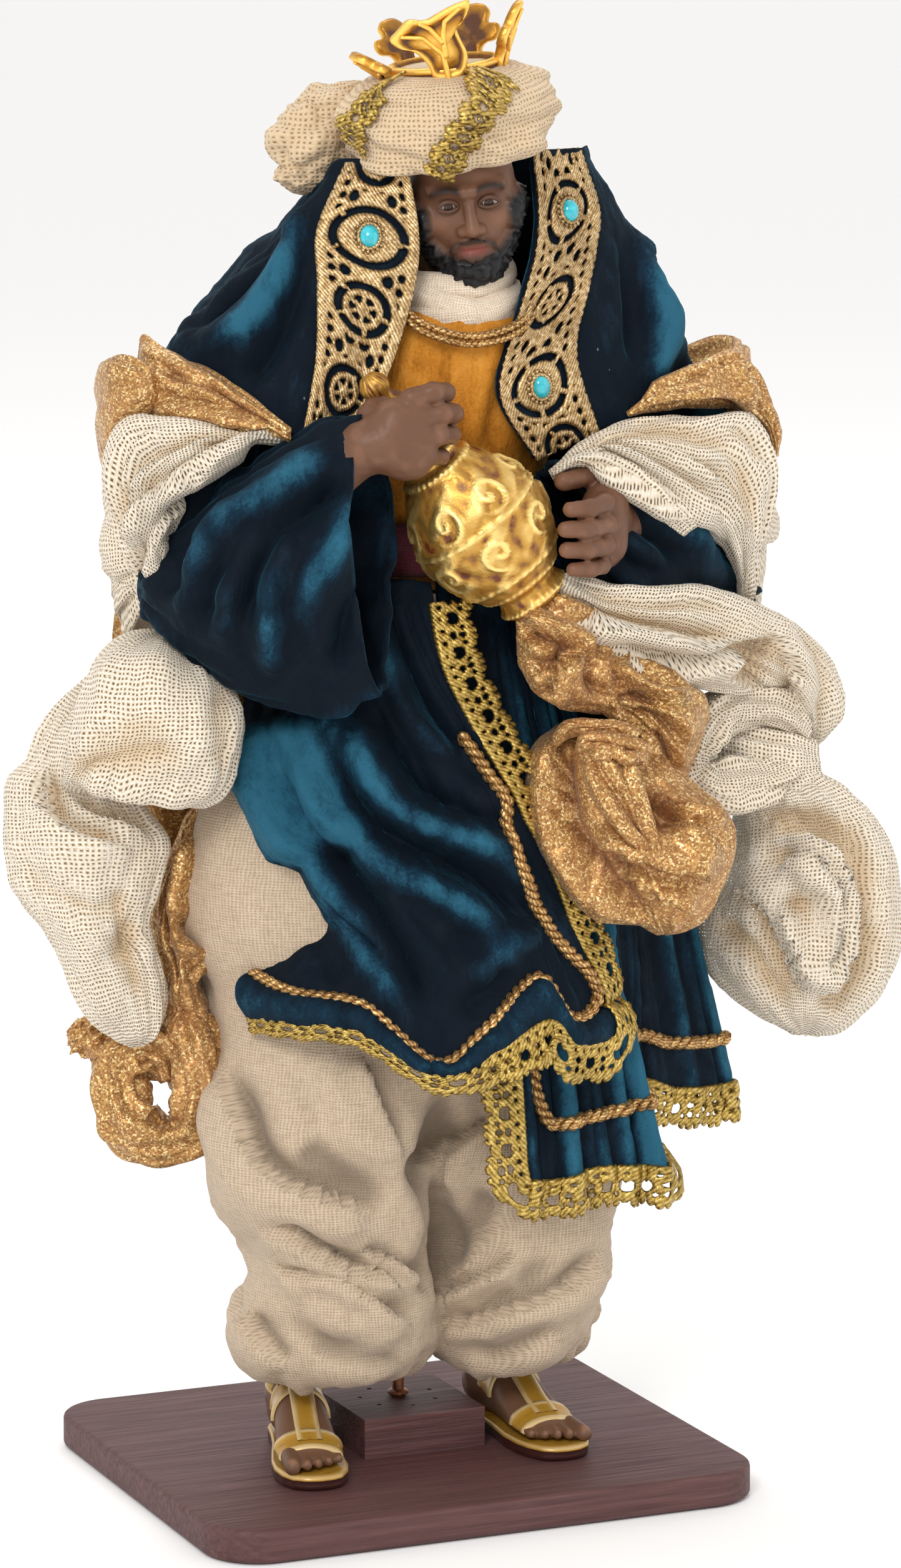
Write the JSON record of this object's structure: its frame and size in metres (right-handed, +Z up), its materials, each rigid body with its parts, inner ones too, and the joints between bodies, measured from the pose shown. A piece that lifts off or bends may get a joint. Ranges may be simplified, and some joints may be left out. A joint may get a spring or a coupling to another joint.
{
  "type": "presepe figure",
  "caption": "Standing dressed presepe figure of a turbaned king in a velvet coat who holds a jar, on a small wooden base.",
  "frame": {"origin": "centre of the base board's underside", "axes": "+Z up through the figure, -Y the way the figure faces, +X towards the figure's left hand"},
  "size_m": [0.2013, 0.1063, 0.3043],
  "materials": {
    "painted_wood": "matte dark red-brown paint",
    "rod_metal": "thin copper-brown paint",
    "foot_skin": "painted cast skin and sandal, semi-gloss",
    "linen": "plain-weave linen",
    "ochre_velvet": "short-pile velvet",
    "sash_cloth": "plain burgundy cloth",
    "neck_linen": "fine off-white linen",
    "braid": "twisted gold-brown braid",
    "skin": "painted cast skin, semi-gloss",
    "turban_gauze": "open-weave cotton gauze",
    "gold_lace": "metallic thread lace",
    "collar_lace": "champagne-gold metallic lace",
    "crown_gold": "antique gold with dark recesses",
    "velvet": "petrol-blue crushed velvet",
    "gem": "clear turquoise cut stone",
    "jar_gold": "antique gold leaf over red-brown",
    "gauze": "stiff cream open-weave gauze",
    "lame": "gold-copper glitter fabric"
  },
  "bodies": {
    "root": {"base_board": "painted_wood", "base_block": "painted_wood", "support_rod": "rod_metal", "foot_right": "foot_skin", "foot_left": "foot_skin", "trousers": "linen", "tunic": "ochre_velvet", "waist_sash": "sash_cloth", "neck_cloth": "neck_linen", "neckline_braid": "braid", "head": "skin", "turban": "turban_gauze", "turban_lace": "gold_lace", "crown": "crown_gold", "coat_bodice": "velvet", "coat_skirt": "velvet", "skirt_lace_over": "gold_lace", "skirt_lace_under": "gold_lace", "skirt_braid_over": "braid", "skirt_braid_under": "braid", "sleeve_right": "velvet", "sleeve_left": "velvet", "collar_lace_right": "collar_lace", "collar_lace_left": "collar_lace", "gem_1": "gem", "gem_2": "gem", "gem_3": "gem", "hand_right": "skin", "hand_left": "skin", "jar": "jar_gold", "gauze_stole": "gauze", "lame_stole": "lame", "lame_rosette": "lame"}
  },
  "joints": []
}
